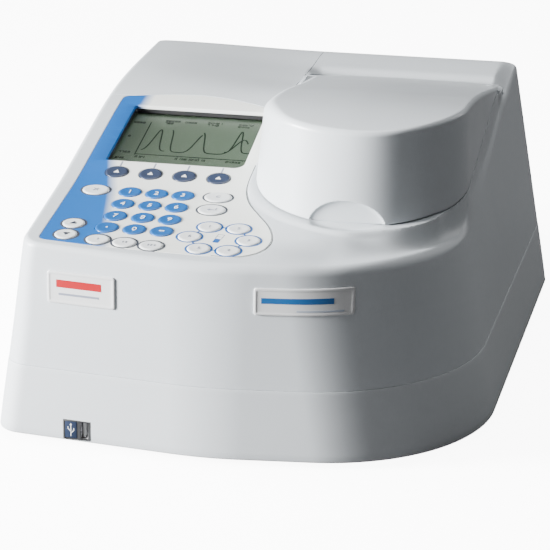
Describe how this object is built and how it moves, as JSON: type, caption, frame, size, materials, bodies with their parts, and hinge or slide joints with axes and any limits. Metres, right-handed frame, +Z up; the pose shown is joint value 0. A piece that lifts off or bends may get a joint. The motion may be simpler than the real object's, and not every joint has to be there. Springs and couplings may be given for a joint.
{
  "type": "spectrophotometer",
  "caption": "Bench spectrophotometer with a sloping keypad and screen console, a hinged round sample lid over a rotating cell turret, and a rear access cover.",
  "frame": {"origin": "centre of the footprint on the bench, at the underside of the feet", "axes": "+Z up, +Y from the keypad front to the rear panel, +X to the operator's right"},
  "size_m": [0.341, 0.4044, 0.2089],
  "materials": {
    "housing": "fine matte moulded texture",
    "panel": "satin printed film, off-white with a blue field",
    "key_blue": "satin",
    "key_slate": "satin",
    "key_white": "satin with printed outline",
    "window": "clear",
    "lcd": "screen",
    "badge": "satin",
    "dark_plastic": "matte",
    "metal": "cast and machined",
    "steel": "ground",
    "circuit_board": "satin",
    "rubber": "matte"
  },
  "bodies": {
    "chassis": {"upper_housing": "housing", "base_tray": "housing", "rear_panel": "dark_plastic", "lid_hinge_pin": "steel", "sample_well": "dark_plastic", "turret_motor": "metal", "display_window": "window", "lcd_module": "lcd", "keypad_panel": "panel", "control_board": "circuit_board", "monochromator_bench": "metal", "lamp_module": "dark_plastic", "detector_block": "metal", "power_supply": "metal", "fan_frame": "dark_plastic", "power_inlet": "dark_plastic", "usb_socket": "dark_plastic", "badge_left": "badge", "badge_right": "badge", "foot_front_left": "rubber", "foot_front_right": "rubber", "foot_rear_left": "rubber", "foot_rear_right": "rubber"},
    "lid": {"sample_lid": "housing", "lid_liner": "dark_plastic"},
    "access_cover": {"access_cover": "housing"},
    "turret": {"cell_turret": "dark_plastic"},
    "grating": {"grating_mount": "metal"},
    "fan": {"fan_rotor": "dark_plastic"},
    "rocker": {"power_switch": "dark_plastic"},
    "key_soft_1": {"key_soft_1": "key_slate"},
    "key_soft_2": {"key_soft_2": "key_slate"},
    "key_soft_3": {"key_soft_3": "key_slate"},
    "key_soft_4": {"key_soft_4": "key_slate"},
    "key_1": {"key_1": "key_blue"},
    "key_2": {"key_2": "key_blue"},
    "key_3": {"key_3": "key_blue"},
    "key_4": {"key_4": "key_blue"},
    "key_5": {"key_5": "key_blue"},
    "key_6": {"key_6": "key_blue"},
    "key_7": {"key_7": "key_blue"},
    "key_8": {"key_8": "key_blue"},
    "key_9": {"key_9": "key_blue"},
    "key_point": {"key_point": "key_blue"},
    "key_0": {"key_0": "key_blue"},
    "key_minus": {"key_minus": "key_blue"},
    "key_esc": {"key_esc": "key_white"},
    "key_clear": {"key_clear": "key_white"},
    "key_enter": {"key_enter": "key_white"},
    "key_up": {"key_up": "key_white"},
    "key_down": {"key_down": "key_white"},
    "key_fn_1": {"key_fn_1": "key_white"},
    "key_fn_2": {"key_fn_2": "key_white"},
    "key_fn_3": {"key_fn_3": "key_white"},
    "key_cell_1": {"key_cell_1": "key_white"},
    "key_cell_2": {"key_cell_2": "key_white"},
    "key_cell_3": {"key_cell_3": "key_white"},
    "key_cell_4": {"key_cell_4": "key_white"},
    "key_cell_5": {"key_cell_5": "key_white"},
    "key_cell_6": {"key_cell_6": "key_white"}
  },
  "joints": [
    {"name": "lid_hinge", "type": "hinge", "parent": "chassis", "child": "lid", "pos_m": [0.0635, 0.1315, 0.1695], "axis": [-1, 0, 0], "range_deg": [0, 78]},
    {"name": "cover_hinge", "type": "hinge", "parent": "chassis", "child": "access_cover", "pos_m": [-0.075, 0.2, 0.16], "axis": [-1, 0, 0], "range_deg": [0, 80]},
    {"name": "turret_spin", "type": "hinge", "parent": "chassis", "child": "turret", "pos_m": [0.0635, -0.066, 0.094], "axis": [0, 0, 1], "continuous": true},
    {"name": "fan_spin", "type": "hinge", "parent": "chassis", "child": "fan", "pos_m": [-0.062, 0.188, 0.112], "axis": [0, 1, 0], "continuous": true},
    {"name": "rocker_tilt", "type": "hinge", "parent": "chassis", "child": "rocker", "pos_m": [0.08, 0.196, 0.1075], "axis": [1, 0, 0], "range_deg": [0, 14]},
    {"name": "grating_turn", "type": "hinge", "parent": "chassis", "child": "grating", "pos_m": [-0.038, 0.04, 0.045], "axis": [0, 0, 1], "range_deg": [-30, 30]},
    {"name": "key_soft_1_press", "type": "slide", "parent": "chassis", "child": "key_soft_1", "axis": [0, 0.2248, -0.9744], "range_m": [0, 0.0006]},
    {"name": "key_soft_2_press", "type": "slide", "parent": "chassis", "child": "key_soft_2", "axis": [0, 0.2248, -0.9744], "range_m": [0, 0.0006]},
    {"name": "key_soft_3_press", "type": "slide", "parent": "chassis", "child": "key_soft_3", "axis": [0, 0.2248, -0.9744], "range_m": [0, 0.0006]},
    {"name": "key_soft_4_press", "type": "slide", "parent": "chassis", "child": "key_soft_4", "axis": [0, 0.2248, -0.9744], "range_m": [0, 0.0006]},
    {"name": "key_1_press", "type": "slide", "parent": "chassis", "child": "key_1", "axis": [0, 0.1575, -0.9875], "range_m": [0, 0.0006]},
    {"name": "key_2_press", "type": "slide", "parent": "chassis", "child": "key_2", "axis": [0, 0.1575, -0.9875], "range_m": [0, 0.0006]},
    {"name": "key_3_press", "type": "slide", "parent": "chassis", "child": "key_3", "axis": [0, 0.1575, -0.9875], "range_m": [0, 0.0006]},
    {"name": "key_4_press", "type": "slide", "parent": "chassis", "child": "key_4", "axis": [0, 0.1532, -0.9882], "range_m": [0, 0.0006]},
    {"name": "key_5_press", "type": "slide", "parent": "chassis", "child": "key_5", "axis": [0, 0.1532, -0.9882], "range_m": [0, 0.0006]},
    {"name": "key_6_press", "type": "slide", "parent": "chassis", "child": "key_6", "axis": [0, 0.1532, -0.9882], "range_m": [0, 0.0006]},
    {"name": "key_7_press", "type": "slide", "parent": "chassis", "child": "key_7", "axis": [0, 0.1532, -0.9882], "range_m": [0, 0.0006]},
    {"name": "key_8_press", "type": "slide", "parent": "chassis", "child": "key_8", "axis": [0, 0.1532, -0.9882], "range_m": [0, 0.0006]},
    {"name": "key_9_press", "type": "slide", "parent": "chassis", "child": "key_9", "axis": [0, 0.1532, -0.9882], "range_m": [0, 0.0006]},
    {"name": "key_point_press", "type": "slide", "parent": "chassis", "child": "key_point", "axis": [0, 0.1532, -0.9882], "range_m": [0, 0.0006]},
    {"name": "key_0_press", "type": "slide", "parent": "chassis", "child": "key_0", "axis": [0, 0.1532, -0.9882], "range_m": [0, 0.0006]},
    {"name": "key_minus_press", "type": "slide", "parent": "chassis", "child": "key_minus", "axis": [0, 0.1532, -0.9882], "range_m": [0, 0.0006]},
    {"name": "key_esc_press", "type": "slide", "parent": "chassis", "child": "key_esc", "axis": [0, 0.1575, -0.9875], "range_m": [0, 0.0006]},
    {"name": "key_clear_press", "type": "slide", "parent": "chassis", "child": "key_clear", "axis": [0, 0.1601, -0.9871], "range_m": [0, 0.0006]},
    {"name": "key_enter_press", "type": "slide", "parent": "chassis", "child": "key_enter", "axis": [0, 0.1532, -0.9882], "range_m": [0, 0.0006]},
    {"name": "key_up_press", "type": "slide", "parent": "chassis", "child": "key_up", "axis": [0, 0.1532, -0.9882], "range_m": [0, 0.0006]},
    {"name": "key_down_press", "type": "slide", "parent": "chassis", "child": "key_down", "axis": [0, 0.1532, -0.9882], "range_m": [0, 0.0006]},
    {"name": "key_fn_1_press", "type": "slide", "parent": "chassis", "child": "key_fn_1", "axis": [0, 0.1532, -0.9882], "range_m": [0, 0.0006]},
    {"name": "key_fn_2_press", "type": "slide", "parent": "chassis", "child": "key_fn_2", "axis": [0, 0.1532, -0.9882], "range_m": [0, 0.0006]},
    {"name": "key_fn_3_press", "type": "slide", "parent": "chassis", "child": "key_fn_3", "axis": [0, 0.1532, -0.9882], "range_m": [0, 0.0006]},
    {"name": "key_cell_1_press", "type": "slide", "parent": "chassis", "child": "key_cell_1", "axis": [0, 0.1532, -0.9882], "range_m": [0, 0.0006]},
    {"name": "key_cell_2_press", "type": "slide", "parent": "chassis", "child": "key_cell_2", "axis": [0, 0.1532, -0.9882], "range_m": [0, 0.0006]},
    {"name": "key_cell_3_press", "type": "slide", "parent": "chassis", "child": "key_cell_3", "axis": [0, 0.1532, -0.9882], "range_m": [0, 0.0006]},
    {"name": "key_cell_4_press", "type": "slide", "parent": "chassis", "child": "key_cell_4", "axis": [0, 0.1532, -0.9882], "range_m": [0, 0.0006]},
    {"name": "key_cell_5_press", "type": "slide", "parent": "chassis", "child": "key_cell_5", "axis": [0, 0.1532, -0.9882], "range_m": [0, 0.0006]},
    {"name": "key_cell_6_press", "type": "slide", "parent": "chassis", "child": "key_cell_6", "axis": [0, 0.1532, -0.9882], "range_m": [0, 0.0006]}
  ]
}
